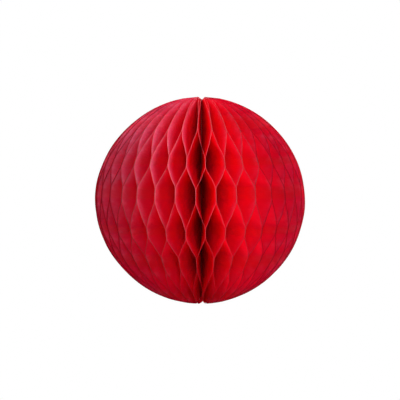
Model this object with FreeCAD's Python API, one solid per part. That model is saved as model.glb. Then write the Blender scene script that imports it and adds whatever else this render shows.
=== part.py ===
import FreeCAD, Part
import math
import os

# Tissue honeycomb ball, fully opened. Millimetres, +Z up along the spine, origin at the ball's centre.
# The seam, where the two card covers meet back to back, faces +Y. The middle pair of leaves faces -Y.
# Every leaf is a thin half disc of tissue whose straight edge lies on the spine. The ball is fanned
# out from a flat pad, so each leaf pair and each cover turns on an upright hinge beside the spine.
# Each cover carries one end leaf, glued flat to it, and is a little smaller than the other leaves.

# Driving dimensions
BALL_DIAMETER = 127.0       # a nominal 5 inch ball
TISSUE = 0.03               # thickness of one sheet of tissue
GLUE = 0.02                 # thickness of the glue lines that hold two leaves together as a pair
PAIRS = 35                  # leaf pairs between the two end leaves, an odd number
PAIR_STEP = 0.16            # spacing of the pairs in the folded pad
CARD = 0.4                  # thickness of a card cover
CARD_INSET = 2.0            # how much smaller the radius of the covers is than that of the leaves
END_CLEARANCE = 0.06        # between an end leaf and the nearest pair in the folded pad
SEAM_GAP = 0.1              # between the backs of the two covers when the ball is open
TAPE = 0.08                 # thickness of the tape squares that hold the covers together
TAPE_SIDE = 9.0             # side of a tape square
TAPE_REACH = 38.0           # distance of the squares' centres from the spine
TAPE_HEIGHTS = (-36.0, 0.0, 36.0)
NOTCH_DEPTH = 2.5           # length cut off the spine edge at each end of every leaf
NOTCH_WIDTH = 2.2           # how far the cut reaches out from the axis
THREAD_DIAMETER = 0.8       # the cotton thread down the middle of the spine
KNOT_DIAMETER = 1.7         # the knot at each end of the thread
KNOT_HEIGHT = 1.9
KNOT_DROP = 1.2             # from the bottom of the notch down to the knot's outer end

# Worked out from them
RADIUS = BALL_DIAMETER / 2
PAIR_ANGLE = 360.0 / PAIRS                       # from one pair to the next in the open ball
MIDDLE = (PAIRS + 1) // 2
PAIR_THICKNESS = 2 * TISSUE + GLUE
COVER_THICKNESS = CARD + TISSUE                  # the card with its end leaf glued on
COVER_STACK = (MIDDLE - 1) * PAIR_STEP + PAIR_THICKNESS / 2 + END_CLEARANCE + COVER_THICKNESS / 2
PAD_THICKNESS = 2 * COVER_STACK + COVER_THICKNESS
# Opened, the spine edges that lay in a row across the pad close into a ring with the same length.
RING = (PAD_THICKNESS + SEAM_GAP) / (2 * math.pi)
KNOT_OUTER = RADIUS - NOTCH_DEPTH - KNOT_DROP

FRONT = -90.0                                    # direction that the middle pair faces, from +X
UP = FreeCAD.Vector(0, 0, 1)


def turned(vector, degrees):
    """The vector turned about the Z axis."""
    return FreeCAD.Rotation(UP, degrees).multVec(vector)


def fold_hinge(open_edge, angle, stack):
    """Where the hinge axis stands, for a member whose spine edge is at open_edge in the open ball and
    at height stack across the folded pad, and which turns through angle between the two."""
    folded_edge = FreeCAD.Vector(RING, stack, 0)
    gap = folded_edge - turned(open_edge, -angle)
    turn = math.radians(angle)
    # A turn by -angle about the hinge c moves points by (1 - turn) c, so c is gap divided by (1 - turn).
    half_cot = math.sin(turn) / (2 * (1 - math.cos(turn)))
    return FreeCAD.Vector(gap.x / 2 + gap.y * half_cot, gap.y / 2 - gap.x * half_cot, 0)


def pair_member(number):
    """A leaf pair: its fan angle from the middle pair, its place in the pad and its open spine edge."""
    angle = (number - MIDDLE) * PAIR_ANGLE
    stack = (number - MIDDLE) * PAIR_STEP
    round_ring = stack / RING
    edge = FreeCAD.Vector(RING * math.cos(round_ring), RING * math.sin(round_ring), 0)
    return {"angle": angle, "stack": stack, "edge": edge, "radius": RADIUS}


def cover_member(side):
    """A card cover and its end leaf as one layer. side is -1 for cover A and 1 for cover B."""
    offset = side * (SEAM_GAP / 2 + COVER_THICKNESS / 2)
    edge = FreeCAD.Vector(-math.sqrt(RING ** 2 - offset ** 2), offset, 0)
    return {"angle": 180.0 * side, "stack": side * COVER_STACK, "edge": edge, "radius": RADIUS - CARD_INSET}


def leaf_outline(radius):
    """The half disc with its two spine corners cut off, in the XZ plane, with its spine edge on x = 0."""
    rim_height = math.sqrt(radius ** 2 - NOTCH_WIDTH ** 2)
    spine_top = FreeCAD.Vector(0, 0, radius - NOTCH_DEPTH)
    rim_top = FreeCAD.Vector(NOTCH_WIDTH - RING, 0, rim_height)
    rim_middle = FreeCAD.Vector(radius - RING, 0, 0)
    rim_bottom = FreeCAD.Vector(rim_top.x, 0, -rim_height)
    spine_bottom = FreeCAD.Vector(0, 0, NOTCH_DEPTH - radius)
    edges = [
        Part.LineSegment(spine_bottom, spine_top).toShape(),
        Part.LineSegment(spine_top, rim_top).toShape(),
        Part.Arc(rim_top, rim_middle, rim_bottom).toShape(),
        Part.LineSegment(rim_bottom, spine_bottom).toShape(),
    ]
    return Part.Wire(edges)


def place(shape, member):
    """The shape moved from the XZ plane to where the member stands in the open ball."""
    placed = shape.copy()
    placed.rotate(FreeCAD.Vector(0, 0, 0), UP, member["angle"] + FRONT)
    placed.translate(turned(member["edge"], FRONT))
    return placed


def half_disc(member, low, high):
    """A sheet with the leaf's outline, from low to high along the member's normal."""
    face = Part.Face(leaf_outline(member["radius"]))
    face.translate(FreeCAD.Vector(0, low, 0))
    return place(face.extrude(FreeCAD.Vector(0, high - low, 0)), member)


def leaf_pair(number):
    """Two parallel leaves with the glue's thickness between them."""
    member = pair_member(number)
    outer = PAIR_THICKNESS / 2
    inner = GLUE / 2
    return Part.makeCompound([half_disc(member, -outer, -inner), half_disc(member, inner, outer)])


def cover_layers(side):
    """How far along the cover's normal three faces lie: the card's back, the joint between the card and
    its end leaf, and the end leaf's face, which looks into the ball."""
    back = COVER_THICKNESS / 2 * side
    joint = back - CARD * side
    return back, joint, -back


def between(member, first, second):
    """A half disc between two heights given in either order."""
    return half_disc(member, min(first, second), max(first, second))


def card_cover(side):
    back, joint, face = cover_layers(side)
    return between(cover_member(side), back, joint)


def end_leaf(side):
    back, joint, face = cover_layers(side)
    return between(cover_member(side), joint, face)


def tape_squares():
    """Three squares of double-sided tape on the back of cover A, which hold cover B."""
    squares = []
    for height in TAPE_HEIGHTS:
        corner = FreeCAD.Vector(-SEAM_GAP / 2, TAPE_REACH - TAPE_SIDE / 2, height - TAPE_SIDE / 2)
        squares.append(Part.makeBox(TAPE, TAPE_SIDE, TAPE_SIDE, corner))
    return Part.makeCompound(squares)


def spine_thread():
    length = 2 * (KNOT_OUTER - KNOT_HEIGHT)
    return Part.makeCylinder(THREAD_DIAMETER / 2, length, FreeCAD.Vector(0, 0, -length / 2))


def knot(side):
    """A small barrel-shaped knot on the end of the thread, above it for side 1 and below for side -1."""
    flat = THREAD_DIAMETER / 2
    bulge = KNOT_DIAMETER / 2
    low = KNOT_OUTER - KNOT_HEIGHT
    points = [
        FreeCAD.Vector(0, 0, low),
        FreeCAD.Vector(flat, 0, low),
        FreeCAD.Vector(bulge, 0, low + KNOT_HEIGHT / 2),
        FreeCAD.Vector(flat, 0, KNOT_OUTER),
        FreeCAD.Vector(0, 0, KNOT_OUTER),
    ]
    edges = [
        Part.LineSegment(points[0], points[1]).toShape(),
        Part.Arc(points[1], points[2], points[3]).toShape(),
        Part.LineSegment(points[3], points[4]).toShape(),
        Part.LineSegment(points[4], points[0]).toShape(),
    ]
    barrel = Part.Face(Part.Wire(edges)).revolve(FreeCAD.Vector(0, 0, 0), UP, 360)
    if side < 0:
        barrel = barrel.mirror(FreeCAD.Vector(0, 0, 0), UP)
    return barrel


def all_parts():
    parts = {
        "cover_a": card_cover(-1),
        "cover_b": card_cover(1),
        "end_leaf_a": end_leaf(-1),
        "end_leaf_b": end_leaf(1),
        "tape_squares": tape_squares(),
        "spine_thread": spine_thread(),
        "top_knot": knot(1),
        "bottom_knot": knot(-1),
    }
    for number in range(1, PAIRS + 1):
        parts[f"leaf_pair_{number:02d}"] = leaf_pair(number)
    return parts


def print_hinge(name, member):
    """One line for each hinge: its place in millimetres and the angle it turns through to fold."""
    hinge = turned(fold_hinge(member["edge"], member["angle"], member["stack"]), FRONT)
    print(f"HINGE {name} {hinge.x:.6f} {hinge.y:.6f} {-member['angle']:.6f}")


def main():
    os.makedirs("parts", exist_ok=True)
    for name, shape in all_parts().items():
        shape.exportStep(f"parts/{name}.step")
    print_hinge("cover_a", cover_member(-1))
    print_hinge("cover_b", cover_member(1))
    for number in range(1, PAIRS + 1):
        if number != MIDDLE:
            print_hinge(f"leaf_pair_{number:02d}", pair_member(number))
    print(f"pair angle {PAIR_ANGLE:.4f} degrees, ring radius {RING:.4f}, pad thickness {PAD_THICKNESS:.3f}")
    print(f"knot end at {KNOT_OUTER:.3f}")


main()
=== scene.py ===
import math

import bpy
import numpy as np
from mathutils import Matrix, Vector


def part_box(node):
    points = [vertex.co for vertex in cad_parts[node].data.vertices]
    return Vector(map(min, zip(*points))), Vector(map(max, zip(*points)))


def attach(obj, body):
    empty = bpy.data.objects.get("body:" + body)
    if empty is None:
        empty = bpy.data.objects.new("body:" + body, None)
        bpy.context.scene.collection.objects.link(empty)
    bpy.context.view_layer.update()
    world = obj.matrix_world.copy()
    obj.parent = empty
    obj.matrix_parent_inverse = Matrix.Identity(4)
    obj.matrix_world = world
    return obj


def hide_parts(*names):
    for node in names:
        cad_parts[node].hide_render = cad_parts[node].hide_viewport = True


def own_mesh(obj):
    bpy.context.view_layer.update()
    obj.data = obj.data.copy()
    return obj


# A tissue-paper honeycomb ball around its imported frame. Lengths in the formulas are millimetres, as in the
# CAD, and MM turns them into metres. Angles round the spine are degrees from -Y, positive towards +X.
MM = 0.001
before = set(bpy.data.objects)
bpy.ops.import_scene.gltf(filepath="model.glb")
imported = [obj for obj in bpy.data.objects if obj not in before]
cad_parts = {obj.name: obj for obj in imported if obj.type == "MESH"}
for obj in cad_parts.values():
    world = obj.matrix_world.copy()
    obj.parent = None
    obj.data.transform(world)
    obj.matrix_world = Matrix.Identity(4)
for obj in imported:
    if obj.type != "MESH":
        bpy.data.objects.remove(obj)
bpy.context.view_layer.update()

# ------------------------------------------------------------------ the pad, as it was glued and cut
RADIUS = 63.5
PAIRS = 35
PAIR_ANGLE = 360.0 / PAIRS
MIDDLE = 18
PAIR_STEP = 0.16                     # spacing of the pairs in the folded pad
RING = 1.0504                        # radius of the ring of spine edges in the open ball
NOTCH_BOTTOM = 61.0                  # height where the cut across the spine corner begins
NOTCH_WIDTH = 2.2
RIM_TOP = math.sqrt(RADIUS ** 2 - NOTCH_WIDTH ** 2)
GLUE_PERIOD = 40.6                   # from one glue line to the next of the same kind
NEIGHBOUR_LINE = 7.1                 # a glue line between a pair and the next pair
PAIR_LINE = 25.3                     # a glue line inside a pair
GLUED = (1.9, 3.3)                   # half the height that a glued stretch holds: partner leaves, next pairs
# Each glue line from the top down, with 1 where it holds the next pair and 0 where it holds the partner leaf.
LINES = [(NEIGHBOUR_LINE + GLUE_PERIOD, 1), (PAIR_LINE, 0), (NEIGHBOUR_LINE, 1), (PAIR_LINE - GLUE_PERIOD, 0),
         (NEIGHBOUR_LINE - GLUE_PERIOD, 1), (PAIR_LINE - 2 * GLUE_PERIOD, 0)]

# ------------------------------------------------------------------ how the open ball differs from it
POLE_SHRINK = 0.0125                 # zigzags take up height: this share at the spine
RIM_SHRINK = 0.0375                  # and this much more at the rim
LEAN = 0.012                         # the ball reaches this share further to -X than to +X
FREE_SPREAD = 0.55                   # where a leaf's free tips end up between partner (0) and neighbour (1)
SPLIT_TOP, SPLIT_BOTTOM = 61.5, 59.4  # heights where the front and back leaves part at each pole
SPLIT_HALF_WIDTH = 2.3
CORNER = 0.13                        # share of a free stretch that bends at each end, the rest is straight
BOND_TURN, BOND_LIFT = 0.32, 0.55    # unevenness of a glued stretch: degrees round the spine, millimetres up
LEAF_GROWTH = 0.003                  # share by which leaves differ in reach
RIPPLE = 0.28                        # unevenness of the loose paper, in millimetres

# ------------------------------------------------------------------ the sheet itself
SHEET_GAP = 0.02                     # half the distance between two glued sheets
LIP = 0.05                           # radius of the fuzzy curl that cutting leaves along the edge
LIP_ANGLES = (180, 90, 0, -90, -170)   # the curl's section, from where the sheet meets it
LIP_FADE = 1.5                       # how far from the edge the curl still holds two glued sheets apart
SHEET_SHARES = (0.02, 0.05, 0.1, 0.17, 0.27, 0.42, 0.65, 1.0)   # columns, from the rim to the spine
TIP = 0.9995                         # a leaf stops at this share of its height, short of a point
ROW_STEP, POLE_ROW_STEP = 1.5, 0.8   # height between a leaf's rows, and the same near a pole
POLE_FROM = 50                       # height where near a pole begins
END_LEAF_ROWS = 96

# ------------------------------------------------------------------ the thread up the spine
THREAD_STRANDS = 3
THREAD_TWIST = 2.6                   # height of one turn
STRAND_REACH, STRAND_RADIUS = 0.2, 0.19
KNOT_STRAND = 0.28                   # the thread is pulled tight in the knots
KNOT_STEPS = 120
KNOT_TAIL = 1.4                      # how far the cut end stands out of the knot
TAIL_LEAN = 0.25                     # how far it bends aside


def noise_of(*key):
    """A repeatable number from -1 to 1 for a bond or leaf."""
    state = 12345.678
    for number in key:
        state = math.sin(state * 12.9898 + number * 78.233) * 43758.5453
    return 2 * (state - math.floor(state)) - 1


def direction(degrees):
    angle = math.radians(degrees)
    return np.array([math.sin(angle), -math.cos(angle), 0.0])


def sideways(degrees):
    angle = math.radians(degrees)
    return np.array([math.cos(angle), math.sin(angle), 0.0])


def pair_angle(pair):
    return (pair - MIDDLE) * PAIR_ANGLE


def pair_offset(pair):
    """How far the pair's plane stands from the spine's axis, because the cards take room on the ring."""
    round_ring = (pair - MIDDLE) * PAIR_STEP / RING
    return RING * math.sin(round_ring - math.radians(pair_angle(pair)))


def heights():
    """The heights of a leaf's rows: exact at the ends of each glued stretch, finer towards the poles."""
    stops = [-RIM_TOP * TIP, -SPLIT_BOTTOM]
    for height, kind in reversed(LINES):
        stops += [height - GLUED[kind], height + GLUED[kind]]
    stops += [SPLIT_TOP, RIM_TOP * TIP]
    stops = sorted(stops)
    rows = [stops[0]]
    for low, high in zip(stops, stops[1:]):
        near_pole = abs(low + high) / 2 > POLE_FROM
        steps = max(1, round((high - low) / (POLE_ROW_STEP if near_pole else ROW_STEP)))
        rows += [low + (high - low) * n / steps for n in range(1, steps + 1)]
    return rows


def ease(share):
    """From 0 to 1: straight, with a short bend at each end."""
    if share > 0.5:
        return 1 - ease(1 - share)
    if share < CORNER:
        return share * share / (2 * CORNER * (1 - CORNER))
    return (share - CORNER / 2) / (1 - CORNER)


def bond_shift(pair, side, line, kind):
    """Small unevenness of one glued stretch, the same for both leaves that it holds: degrees, millimetres."""
    first = pair if kind == 0 or side > 0 else pair - 1
    if kind == 1 and (first < 1 or first >= PAIRS):
        return 0.0, 0.0
    return BOND_TURN * noise_of(first, line, kind, 1), BOND_LIFT * noise_of(first, line, kind, 2)


def zigzag(pair, side, height):
    """(angle from the pair's plane, shift up, reach towards the neighbour from 0 to 1) at a height."""
    nodes = []
    for line, (at, kind) in enumerate(LINES):
        turn, lift = bond_shift(pair, side, line, kind)
        nodes.append((at + GLUED[kind], at - GLUED[kind], (side * kind * PAIR_ANGLE / 2 + turn, lift, kind)))
    free = (side * FREE_SPREAD * PAIR_ANGLE / 2, 0.0, FREE_SPREAD)
    nodes = [(2 * RADIUS, RADIUS, free)] + nodes + [(-RADIUS, -2 * RADIUS, free)]
    for (_, upper_end, upper), (lower_start, lower_end, lower) in zip(nodes, nodes[1:]):
        if height > lower_start:
            share = ease(max(0.0, upper_end - height) / (upper_end - lower_start))
            return tuple(a + (b - a) * share for a, b in zip(upper, lower))
        if height >= lower_end:
            return lower
    return free


def split(angle, side_of_plane, reach, height):
    """The angle after the leaves near -Y and +Y have parted at the poles, leaving a V open."""
    start = SPLIT_TOP if height > 0 else SPLIT_BOTTOM
    open_width = SPLIT_HALF_WIDTH * min(1.0, max(0.0, (abs(height) - start) / (RIM_TOP - start)))
    if open_width == 0:
        return angle
    part = math.degrees(math.asin(min(0.8, open_width / max(reach, 1e-6))))
    near = abs(angle) if abs(angle) < 90 else 180 - abs(angle)
    push = part * (1 - near / 90)
    return angle + side_of_plane * (push if abs(angle) < 90 else -push)


def ripple(leaf, reach, height, loose):
    """Sideways unevenness of the paper in millimetres, none where it is glued."""
    total = 0.0
    for n in range(4):
        along = 0.16 + 0.13 * n
        across = 0.10 + 0.07 * n
        phase = 9.0 * noise_of(leaf, n, 3)
        total += math.sin(along * height + across * reach * noise_of(leaf, n, 4) + phase) / (n + 1.5)
    return RIPPLE * total * loose


def leaf_points(pair, side):
    """One leaf as rows of (point, how far onto the cut edge, place on the flat leaf)."""
    leaf = 2 * pair + (1 if side > 0 else 0)
    base = pair_angle(pair)
    offset = pair_offset(pair)
    grown = 1 - LEAN * math.sin(math.radians(base)) + LEAF_GROWTH * noise_of(leaf, 7)
    half_plane = 1 if base + side > 0 else -1
    grid = []
    for height in heights():
        rim = math.sqrt(RADIUS ** 2 - height ** 2)
        cut = max(0.0, (abs(height) - NOTCH_BOTTOM) / (RIM_TOP - NOTCH_BOTTOM))
        inner = RING + (NOTCH_WIDTH - RING) * cut
        turn, lift, toward = zigzag(pair, side, height)
        loose = 1 - abs(2 * toward - 1)
        lip = min(LIP, (rim - inner) / 6)
        columns = [(rim - lip + lip * math.cos(math.radians(a)), lip * math.sin(math.radians(a)), 1.0)
                   for a in reversed(LIP_ANGLES)]
        columns += [(rim - 2 * lip - (rim - 2 * lip - inner) * share, 0.0, 0.0) for share in SHEET_SHARES]
        row = []
        for reach, curl, edge in columns:
            angle = split(base + turn, half_plane, reach, height)
            apart = SHEET_GAP + LIP * max(0.0, 1 - (rim - reach) / LIP_FADE)
            shift = (side * apart * (1 - 2 * toward) + curl
                     + ripple(leaf, reach, height, loose) * reach / RADIUS)
            point = direction(angle) * reach * grown + sideways(base) * offset + sideways(angle) * shift
            point[2] = height * (1 - POLE_SHRINK - RIM_SHRINK * (reach / RADIUS) ** 2) + lift * reach / RADIUS
            row.append((point, edge, (reach, height, leaf)))
        grid.append(row)
    return grid


def sheet_mesh(name, grid):
    """A thin open sheet from a grid of points, with its flat layout and cut edge as attributes."""
    columns = len(grid[0])
    faces = []
    for r in range(len(grid) - 1):
        for c in range(columns - 1):
            a = r * columns + c
            faces.append((a, a + 1, a + columns + 1, a + columns))
    mesh = bpy.data.meshes.new(name)
    mesh.from_pydata([tuple(point * MM) for row in grid for point, _, _ in row], [], faces)
    edge = [value for row in grid for _, value, _ in row]
    flat = [value for row in grid for _, _, place in row for value in place]
    mesh.attributes.new("cut_edge", "FLOAT", "POINT").data.foreach_set("value", edge)
    mesh.attributes.new("flat", "FLOAT_VECTOR", "POINT").data.foreach_set("vector", flat)
    mesh.polygons.foreach_set("use_smooth", [True] * len(mesh.polygons))
    mesh.update()
    return mesh


# ------------------------------------------------------------------ node helpers
class Tree:
    """A small helper that adds and links the nodes of one material."""

    def __init__(self, name):
        self.material = bpy.data.materials.new(name)
        self.material.use_nodes = True
        self.nodes = self.material.node_tree.nodes
        self.links = self.material.node_tree.links
        self.nodes.clear()
        self.output = self.nodes.new("ShaderNodeOutputMaterial")

    def add(self, kind, **settings):
        node = self.nodes.new(kind)
        for key, value in settings.items():
            setattr(node, key, value)
        return node

    def link(self, source, target):
        self.links.new(source, target)

    def math(self, operation, *values):
        node = self.add("ShaderNodeMath", operation=operation)
        for n, value in enumerate(values):
            if isinstance(value, (int, float)):
                node.inputs[n].default_value = value
            else:
                self.link(value, node.inputs[n])
        return node.outputs[0]

    def noise(self, place, scale, detail=3.0, stretch=(1, 1, 1), roughness=0.5):
        mapping = self.add("ShaderNodeMapping")
        mapping.inputs["Scale"].default_value = stretch
        self.link(place, mapping.inputs["Vector"])
        node = self.add("ShaderNodeTexNoise")
        node.inputs["Scale"].default_value = scale
        node.inputs["Detail"].default_value = detail
        node.inputs["Roughness"].default_value = roughness
        self.link(mapping.outputs[0], node.inputs["Vector"])
        return node.outputs["Fac"]

    def range(self, value, low, high, new_low, new_high):
        node = self.add("ShaderNodeMapRange")
        for n, number in enumerate((low, high, new_low, new_high)):
            node.inputs[n + 1].default_value = number
        self.link(value, node.inputs[0])
        return node.outputs[0]

    def band(self, value, low, high, high_end, low_end):
        """0 up to low, 1 from high to high_end, and 0 again from low_end."""
        return self.math("MULTIPLY", self.range(value, low, high, 0.0, 1.0),
                         self.range(value, high_end, low_end, 1.0, 0.0))

    def mix(self, share, first, second):
        node = self.add("ShaderNodeMix", data_type="RGBA")
        self.link(share, node.inputs[0])
        for socket, value in ((6, first), (7, second)):
            if isinstance(value, tuple):
                node.inputs[socket].default_value = (*value, 1.0)
            else:
                self.link(value, node.inputs[socket])
        return node.outputs[2]

    def bump(self, height, distance, strength, normal=None):
        node = self.add("ShaderNodeBump")
        node.inputs["Distance"].default_value = distance
        node.inputs["Strength"].default_value = strength
        self.link(height, node.inputs["Height"])
        if normal is not None:
            self.link(normal, node.inputs["Normal"])
        return node.outputs[0]


TISSUE_RED = (0.95, 0.028, 0.170)
TISSUE_DEEP = (0.90, 0.016, 0.125)
PAINTED_SHEEN_TONE = (0.88, 0.23, 0.38)     # painted sheen: a pale highlight painted near the rim of some leaves
EDGE_SHADE_TONE = (0.36, 0.003, 0.012)      # painted shade on the fuzzy cut edge of most leaves
EDGE_HIGHLIGHT_TONE = (1.0, 0.20, 0.24)         # and a painted highlight on the cut edge of the leaves listed below
SHEEN_LEAVES = (10, 26, 34, 44)       # the painted sheen grows from leaf 10 to 26 and ends between 34 and 44
HIGHLIGHT_EDGE_LEAVES = (26, 33, 37, 43)         # and the same for the painted highlight on the cut edges
THROUGH_RED = (1.0, 0.002, 0.015)
SEE_THROUGH = 0.80
EDGE_SEE_THROUGH = 0.45
GLUED_SEE_THROUGH = 0.83              # glue clears the paper
SHEEN_DEPTH = 11.0                     # how far in from the rim the painted sheen reaches
FIBRE_TONE = (0.90, 0.07, 0.12)
GLUE_TONE = (0.90, 0.09, 0.15)
GLUE_BORDER_TONE = (0.88, 0.06, 0.11)
CARD_TONES = (0.42, 0.012, 0.022), (0.52, 0.02, 0.034)
CARD_FIBRE_TONE = (0.60, 0.06, 0.07)
CARD_WORN_TONE = (0.34, 0.05, 0.05)
CARD_WORN_WIDTH = 0.0012              # metres
THREAD_TONES = (0.24, 0.016, 0.02), (0.36, 0.03, 0.035)
THREAD_FRAYED_TONE = (0.55, 0.12, 0.12)
TAPE_TONES = (0.80, 0.77, 0.68), (0.86, 0.84, 0.76)


def tissue_material():
    """Dyed tissue: matte with a faint gloss, lets red light through, with fibres, creases and glue lines, a
    painted sheen near the rims of some leaves, painted shade on most cut edges and a painted highlight on the
    cut edges of some leaves.
    """
    t = Tree("tissue")
    place = t.add("ShaderNodeAttribute", attribute_name="flat").outputs["Vector"]
    cloud = t.noise(place, 0.09, 4.0)
    fibre = t.noise(place, 2.2, 2.0, (1.0, 0.35, 1.0))
    crease = t.noise(place, 0.35, 3.0, (0.45, 1.0, 1.0), 0.6)
    patch = t.noise(place, 0.14, 3.0, (1.0, 1.3, 1.0), 0.6)
    tone = t.mix(t.range(cloud, 0.3, 0.7, 0.0, 1.0), TISSUE_DEEP, TISSUE_RED)
    tone = t.mix(t.range(fibre, 0.45, 0.75, 0.0, 0.16), tone, FIBRE_TONE)
    parts = t.add("ShaderNodeSeparateXYZ")
    t.link(place, parts.inputs[0])
    near = None
    for line, half in ((PAIR_LINE, GLUED[0]), (NEIGHBOUR_LINE, GLUED[1])):
        from_line = t.math("SUBTRACT", parts.outputs["Y"], line)
        wrapped = t.math("ABSOLUTE", t.math("WRAP", from_line, GLUE_PERIOD / 2, -GLUE_PERIOD / 2))
        past_end = t.math("SUBTRACT", wrapped, half)
        near = past_end if near is None else t.math("MINIMUM", near, past_end)
    border = t.math("ABSOLUTE", t.math("ADD", near, 0.7))
    glue = t.range(near, -0.4, 0.8, 1.0, 0.0)
    tone = t.mix(t.math("MULTIPLY", glue, 0.35), tone, GLUE_TONE)
    tone = t.mix(t.range(border, 0.0, 0.45, 0.22, 0.0), tone, GLUE_BORDER_TONE)
    # painted sheen: a pale highlight near the rims, on a band of leaves by leaf number
    sheen_leaves = t.band(parts.outputs["Z"], *SHEEN_LEAVES)
    # painted highlight on the cut edges of some leaves by leaf number, painted shade on the rest
    edge_highlight_leaves = t.band(parts.outputs["Z"], *HIGHLIGHT_EDGE_LEAVES)
    from_spine = t.math("SQRT", t.math("ADD", t.math("POWER", parts.outputs["X"], 2.0),
                                       t.math("POWER", t.math("ABSOLUTE", parts.outputs["Y"]), 2.0)))
    near_rim = t.math("POWER", t.range(from_spine, RADIUS - SHEEN_DEPTH, RADIUS, 0.0, 1.0), 2.0)
    # the painted sheen is strongest high on the leaves, where light falls from above
    high = t.band(parts.outputs["Y"], -35.0, 30.0, 42.0, 72.0)
    sheen_high = t.math("MULTIPLY", t.math("MULTIPLY", sheen_leaves, high), 0.75)
    painted_sheen = t.math("MULTIPLY", near_rim, t.math("ADD", sheen_high, t.range(patch, 0.45, 0.75, 0.0, 0.45)))
    tone = t.mix(painted_sheen, tone, PAINTED_SHEEN_TONE)
    edge = t.add("ShaderNodeAttribute", attribute_name="cut_edge").outputs["Fac"]
    # the painted edge highlight is lighter high up, where light falls from above
    edge_highlight = t.math("MULTIPLY", edge_highlight_leaves, t.range(parts.outputs["Y"], -50.0, 10.0, 0.15, 1.0))
    tone = t.mix(edge, tone, t.mix(edge_highlight, EDGE_SHADE_TONE, EDGE_HIGHLIGHT_TONE))
    bumps = t.bump(crease, 0.0009, 0.5)
    bumps = t.bump(fibre, 0.0001, 0.25, bumps)
    surface = t.add("ShaderNodeBsdfPrincipled")
    t.link(tone, surface.inputs["Base Color"])
    t.link(t.range(fibre, 0.3, 0.7, 0.42, 0.56), surface.inputs["Roughness"])
    surface.inputs["Specular IOR Level"].default_value = 0.06
    t.link(bumps, surface.inputs["Normal"])
    through = t.add("ShaderNodeBsdfTranslucent")
    through.inputs["Color"].default_value = (*THROUGH_RED, 1.0)
    t.link(bumps, through.inputs["Normal"])
    both = t.add("ShaderNodeMixShader")
    clear = t.range(glue, 0.0, 1.0, SEE_THROUGH, GLUED_SEE_THROUGH)
    fuzzy = t.math("MULTIPLY", edge, t.math("SUBTRACT", clear, EDGE_SEE_THROUGH))
    # where the painted sheen is, less light goes through the paper
    sheen_less_through = t.math("MULTIPLY", painted_sheen, 0.4)
    t.link(t.math("SUBTRACT", t.math("SUBTRACT", clear, fuzzy), sheen_less_through), both.inputs[0])
    t.link(surface.outputs[0], both.inputs[1])
    t.link(through.outputs[0], both.inputs[2])
    t.link(both.outputs[0], t.output.inputs["Surface"])
    return t.material


def plain_material(name, low, high, roughness, scale, bump):
    """A mottled matte material."""
    t = Tree(name)
    place = t.add("ShaderNodeTexCoord").outputs["Object"]
    mottle = t.noise(place, scale, 4.0)
    fine = t.noise(place, scale * 7, 2.0)
    surface = t.add("ShaderNodeBsdfPrincipled")
    t.link(t.mix(t.range(mottle, 0.3, 0.7, 0.0, 1.0), low, high), surface.inputs["Base Color"])
    t.link(t.range(fine, 0.3, 0.7, roughness - 0.08, roughness + 0.08), surface.inputs["Roughness"])
    t.link(t.bump(fine, bump, 0.4), surface.inputs["Normal"])
    t.link(surface.outputs[0], t.output.inputs["Surface"])
    return t.material


def card_material():
    """Card faced with red paper: fibre mottle on the faces, duller along the cut edge."""
    t = Tree("card")
    place = t.add("ShaderNodeTexCoord").outputs["Object"]
    mottle = t.noise(place, 60.0, 4.0)
    fibre = t.noise(place, 900.0, 3.0, (1.0, 1.0, 0.3))
    from_spine = t.add("ShaderNodeVectorMath", operation="LENGTH")
    t.link(place, from_spine.inputs[0])
    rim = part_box("cover_a")[1][1]
    worn = t.range(from_spine.outputs["Value"], rim - CARD_WORN_WIDTH, rim, 0.0, 0.6)
    tone = t.mix(t.range(mottle, 0.3, 0.7, 0.0, 1.0), *CARD_TONES)
    tone = t.mix(t.range(fibre, 0.5, 0.8, 0.0, 0.3), tone, CARD_FIBRE_TONE)
    tone = t.mix(worn, tone, CARD_WORN_TONE)
    surface = t.add("ShaderNodeBsdfPrincipled")
    t.link(tone, surface.inputs["Base Color"])
    t.link(t.range(fibre, 0.3, 0.7, 0.62, 0.8), surface.inputs["Roughness"])
    t.link(t.bump(fibre, 0.00008, 0.4), surface.inputs["Normal"])
    t.link(surface.outputs[0], t.output.inputs["Surface"])
    return t.material


def thread_material():
    """Dark red cotton: fine fibres along the strand, lighter where they fray."""
    t = Tree("thread")
    place = t.add("ShaderNodeTexCoord").outputs["Object"]
    fibre = t.noise(place, 5000.0, 3.0, (1.0, 1.0, 0.25))
    shade = t.noise(place, 700.0, 2.0)
    tone = t.mix(t.range(shade, 0.3, 0.7, 0.0, 1.0), *THREAD_TONES)
    tone = t.mix(t.range(fibre, 0.5, 0.8, 0.0, 0.4), tone, THREAD_FRAYED_TONE)
    surface = t.add("ShaderNodeBsdfPrincipled")
    t.link(tone, surface.inputs["Base Color"])
    t.link(t.range(fibre, 0.3, 0.7, 0.75, 0.92), surface.inputs["Roughness"])
    surface.inputs["Sheen Weight"].default_value = 0.3
    t.link(t.bump(fibre, 0.00004, 0.5), surface.inputs["Normal"])
    t.link(surface.outputs[0], t.output.inputs["Surface"])
    return t.material


# ------------------------------------------------------------------ camera, light and floor
CAMERA_DISTANCE = 8 * RADIUS         # assumed; PAIRS and GLUE_PERIOD go with it
CAMERA_AZIMUTH = -2.2
CAMERA_ELEVATION = 3.7
LENS = 75.0
AIM = Vector((-0.8 * MM, 0, 0.2 * MM))
SKY_ABOVE, SKY_BELOW = 0.05, 0.0
FLOOR_LEVEL, FLOOR_HALF = -1.0, 12.0
FLOOR_FADE = (1.0, 2.2)              # metres from under the ball
# Each light's azimuth and elevation in degrees, distance and size in metres, and watts.
LIGHTS = {"key": (54, 31, 1.2, 0.9, 12.5),
          "front": (1, 12, 1.2, 0.4, 6.5),
          "fill": (-50, 22, 1.2, 0.6, 4),
          "back": (172, 25, 1.2, 0.9, 10)}


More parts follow.
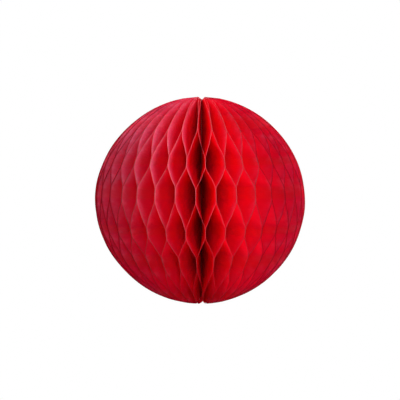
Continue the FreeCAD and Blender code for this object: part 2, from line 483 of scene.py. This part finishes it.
def make_camera():
    azimuth, elevation = math.radians(CAMERA_AZIMUTH), math.radians(CAMERA_ELEVATION)
    level = math.cos(elevation)
    back = Vector((math.sin(azimuth) * level, -math.cos(azimuth) * level, math.sin(elevation)))
    data = bpy.data.cameras.new("camera")
    data.lens = LENS
    data.sensor_width = 36.0
    camera = bpy.data.objects.new("camera", data)
    camera.location = AIM + back * CAMERA_DISTANCE * MM
    camera.rotation_mode = "QUATERNION"
    camera.rotation_quaternion = (-back).to_track_quat("-Z", "Y")
    bpy.context.scene.collection.objects.link(camera)
    bpy.context.scene.camera = camera


def area_light(name, azimuth, elevation, distance, size, power):
    """A round soft light aimed at the ball; azimuth 0 is at -Y and 90 at +X."""
    data = bpy.data.lights.new(name, "AREA")
    data.shape = "DISK"
    data.size = size
    data.energy = power
    light = bpy.data.objects.new(name, data)
    level = math.cos(math.radians(elevation))
    towards = Vector(direction(azimuth) * level) + Vector((0, 0, math.sin(math.radians(elevation))))
    light.location = towards * distance
    light.visible_camera = False
    light.rotation_mode = "QUATERNION"
    light.rotation_quaternion = (-towards).to_track_quat("-Z", "Y")
    bpy.context.scene.collection.objects.link(light)


def make_world():
    """White where the camera looks past the ball, and a dimmer sky that lights it more from above."""
    world = bpy.data.worlds.new("studio")
    world.use_nodes = True
    nodes, links = world.node_tree.nodes, world.node_tree.links
    sky = nodes["Background"]
    up = nodes.new("ShaderNodeSeparateXYZ")
    links.new(nodes.new("ShaderNodeTexCoord").outputs["Generated"], up.inputs[0])
    rise = nodes.new("ShaderNodeMapRange")
    for n, value in enumerate((-1.0, 1.0, SKY_BELOW, SKY_ABOVE)):
        rise.inputs[n + 1].default_value = value
    links.new(up.outputs["Z"], rise.inputs[0])
    links.new(rise.outputs[0], sky.inputs["Strength"])
    sky.inputs["Color"].default_value = (1.0, 0.98, 1.0, 1.0)
    white = nodes.new("ShaderNodeBackground")
    white.inputs["Strength"].default_value = 1.0
    white.inputs["Color"].default_value = (1, 1, 1, 1)
    both = nodes.new("ShaderNodeMixShader")
    links.new(nodes.new("ShaderNodeLightPath").outputs["Is Camera Ray"], both.inputs[0])
    links.new(sky.outputs[0], both.inputs[1])
    links.new(white.outputs[0], both.inputs[2])
    links.new(both.outputs[0], nodes["World Output"].inputs["Surface"])
    bpy.context.scene.world = world


def floor_material():
    """Pale matte paint below the ball that fades to the white of the studio further out."""
    t = Tree("floor_paint")
    place = t.add("ShaderNodeTexCoord").outputs["Object"]
    surface = t.add("ShaderNodeBsdfPrincipled")
    t.link(t.mix(t.noise(place, 4.0), (0.74, 0.74, 0.74), (0.80, 0.80, 0.80)), surface.inputs["Base Color"])
    surface.inputs["Roughness"].default_value = 0.8
    glow = t.add("ShaderNodeEmission")
    glow.inputs["Color"].default_value = (1, 1, 1, 1)
    glow.inputs["Strength"].default_value = 1.0
    far = t.add("ShaderNodeVectorMath", operation="LENGTH")
    t.link(place, far.inputs[0])
    fade = t.range(far.outputs["Value"], FLOOR_FADE[0], FLOOR_FADE[1], 0.0, 1.0)
    seen = t.add("ShaderNodeLightPath").outputs["Is Camera Ray"]
    both = t.add("ShaderNodeMixShader")
    t.link(t.math("MULTIPLY", fade, seen), both.inputs[0])
    t.link(surface.outputs[0], both.inputs[1])
    t.link(glow.outputs[0], both.inputs[2])
    t.link(both.outputs[0], t.output.inputs["Surface"])
    return t.material


def make_floor():
    mesh = bpy.data.meshes.new("floor")
    corners = [(-FLOOR_HALF, -FLOOR_HALF, 0), (FLOOR_HALF, -FLOOR_HALF, 0),
               (FLOOR_HALF, FLOOR_HALF, 0), (-FLOOR_HALF, FLOOR_HALF, 0)]
    mesh.from_pydata(corners, [], [(0, 1, 2, 3)])
    floor = bpy.data.objects.new("floor", mesh)
    floor.location = (0, 0, FLOOR_LEVEL)
    floor.data.materials.append(floor_material())
    bpy.context.scene.collection.objects.link(floor)


def make_stage():
    bpy.context.scene.view_settings.view_transform = "Standard"
    make_world()
    make_floor()
    for name, settings in LIGHTS.items():
        area_light(name, *settings)


# ------------------------------------------------------------------ the pieces
def add_piece(name, mesh, material, body):
    piece = bpy.data.objects.new(name, mesh)
    piece.data.materials.append(material)
    bpy.context.scene.collection.objects.link(piece)
    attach(piece, body)
    return piece


def leaf_name(number):
    return f"leaf_{number:02d}"


def make_leaves(tissue):
    """The zigzag leaves, two to a pair, each glued to the leaf before it and the leaf after it."""
    for pair in range(1, PAIRS + 1):
        node = f"leaf_pair_{pair:02d}"
        body = "spine" if pair == MIDDLE else node
        for side in (-1, 1):
            number = 2 * pair + (1 if side > 0 else 0)
            name = leaf_name(number)
            leaf = add_piece(name, sheet_mesh(name, leaf_points(pair, side)), tissue, body)
            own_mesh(leaf)
            if side > 0:
                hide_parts(node)


def end_leaf_points(cover, number):
    """The flat leaf glued on a card cover, smaller than the others, as rows like leaf_points gives."""
    low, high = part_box(cover)
    inner, radius = low[1] / MM, high[2] / MM
    radius = math.hypot(radius, NOTCH_WIDTH)
    face = high[0] / MM + SHEET_GAP if low[0] > 0 else low[0] / MM - SHEET_GAP
    top = math.sqrt(radius ** 2 - NOTCH_WIDTH ** 2) * TIP
    grid = []
    for step in range(END_LEAF_ROWS + 1):
        height = top * math.sin(math.pi * (step / END_LEAF_ROWS - 0.5))
        rim = math.sqrt(radius ** 2 - height ** 2)
        cut = max(0.0, (abs(height) - radius + RADIUS - NOTCH_BOTTOM) / (RADIUS - NOTCH_BOTTOM))
        start = inner + (NOTCH_WIDTH - inner) * min(1.0, cut)
        row = []
        for share in (0.0,) + SHEET_SHARES:
            reach = rim - (rim - start) * share
            loose = (0.006 * math.sin(0.5 * height + 0.21 * reach)
                     + 0.004 * math.sin(0.9 * reach - 0.3 * height))
            place = np.array([face + math.copysign(abs(loose), face), reach, height])
            row.append((place, 1.0 if share == 0 else 0.0, (reach + RADIUS - radius, height, number)))
        grid.append(row)
    return grid


def make_end_leaves(tissue):
    for letter, number in (("a", 1), ("b", 2 * PAIRS + 2)):
        cover, node, name = f"cover_{letter}", f"end_leaf_{letter}", leaf_name(number)
        leaf = add_piece(name, sheet_mesh(name, end_leaf_points(cover, number)), tissue, cover)
        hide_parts(node)


def tube_mesh(name, paths, radius, sides=8):
    """Round strands along paths of points, with closed ends."""
    points, faces = [], []
    for path in paths:
        path = [Vector(point) for point in path]
        start = len(points)
        across = None
        for n, point in enumerate(path):
            along = (path[min(n + 1, len(path) - 1)] - path[max(n - 1, 0)]).normalized()
            across = along.orthogonal() if across is None else across - along * across.dot(along)
            across.normalize()
            other = along.cross(across)
            for side in range(sides):
                turn = 2 * math.pi * side / sides
                points.append((point + (across * math.cos(turn) + other * math.sin(turn)) * radius) * MM)
        for n in range(len(path) - 1):
            for side in range(sides):
                a, b = start + n * sides + side, start + n * sides + (side + 1) % sides
                faces.append((a, b, b + sides, a + sides))
        faces.append(tuple(range(start + sides - 1, start - 1, -1)))
        faces.append(tuple(range(len(points) - sides, len(points))))
    mesh = bpy.data.meshes.new(name)
    mesh.from_pydata([tuple(point) for point in points], [], faces)
    mesh.polygons.foreach_set("use_smooth", [True] * len(mesh.polygons))
    mesh.update()
    return mesh


def twisted(low, high, lean):
    """The strands of a length of twisted thread up the spine, bending aside by lean towards its high end."""
    steps = max(4, round(abs(high - low) / THREAD_TWIST * 12))
    strands = []
    for strand in range(THREAD_STRANDS):
        path = []
        for n in range(steps + 1):
            height = low + (high - low) * n / steps
            turn = 2 * math.pi * (height / THREAD_TWIST + strand / THREAD_STRANDS)
            bend = lean * (n / steps) ** 2
            path.append((STRAND_REACH * math.sin(turn) + bend, STRAND_REACH * math.cos(turn) + bend, height))
        strands.append(path)
    return strands


def knot_path(middle, radius, half_height):
    """A trefoil loop, which is the path of a tied overhand knot."""
    path = []
    for n in range(KNOT_STEPS + 1):
        t = 2 * math.pi * n / KNOT_STEPS
        path.append((radius * (math.sin(t) + 2 * math.sin(2 * t)) / 3,
                     radius * (math.cos(t) - 2 * math.cos(2 * t)) / 3,
                     middle - half_height * math.sin(3 * t)))
    return path


def make_thread(cotton):
    """The twisted thread up the spine, with an overhand knot and a short cut tail at each end."""
    low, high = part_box("spine_thread")
    strands = twisted(low[2] / MM, high[2] / MM, 0.0)
    mesh = tube_mesh("twisted_thread", strands, STRAND_RADIUS)
    thread = add_piece("twisted_thread", mesh, cotton, "spine")
    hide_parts("spine_thread")
    for node in ("top_knot", "bottom_knot"):
        low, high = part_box(node)
        up = 1 if low[2] > 0 else -1
        middle = (low[2] + high[2]) / 2 / MM
        half_height = (high[2] - low[2]) / 2 / MM
        radius = (high[0] - low[0]) / 2 / MM
        loops = [knot_path(middle, radius - KNOT_STRAND, half_height - KNOT_STRAND)]
        name = "tied_" + node
        knot = add_piece(name, tube_mesh(name, loops, KNOT_STRAND, 12), cotton, "spine")
        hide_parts(node)
        tail = twisted(middle, middle + up * (half_height + KNOT_TAIL), TAIL_LEAN)
        name = node + "_tail"
        add_piece(name, tube_mesh(name, tail, STRAND_RADIUS * 0.8, 6), cotton, "spine")


def paint_cad():
    card = card_material()
    tape = plain_material("tape", *TAPE_TONES, 0.5, 120.0, 0.00005)
    for node, material in (("cover_a", card), ("cover_b", card), ("tape_squares", tape)):
        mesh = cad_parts[node].data
        mesh.materials.clear()
        mesh.materials.append(material)


make_camera()
make_stage()
paper = tissue_material()
make_leaves(paper)
make_end_leaves(paper)
make_thread(thread_material())
paint_cad()
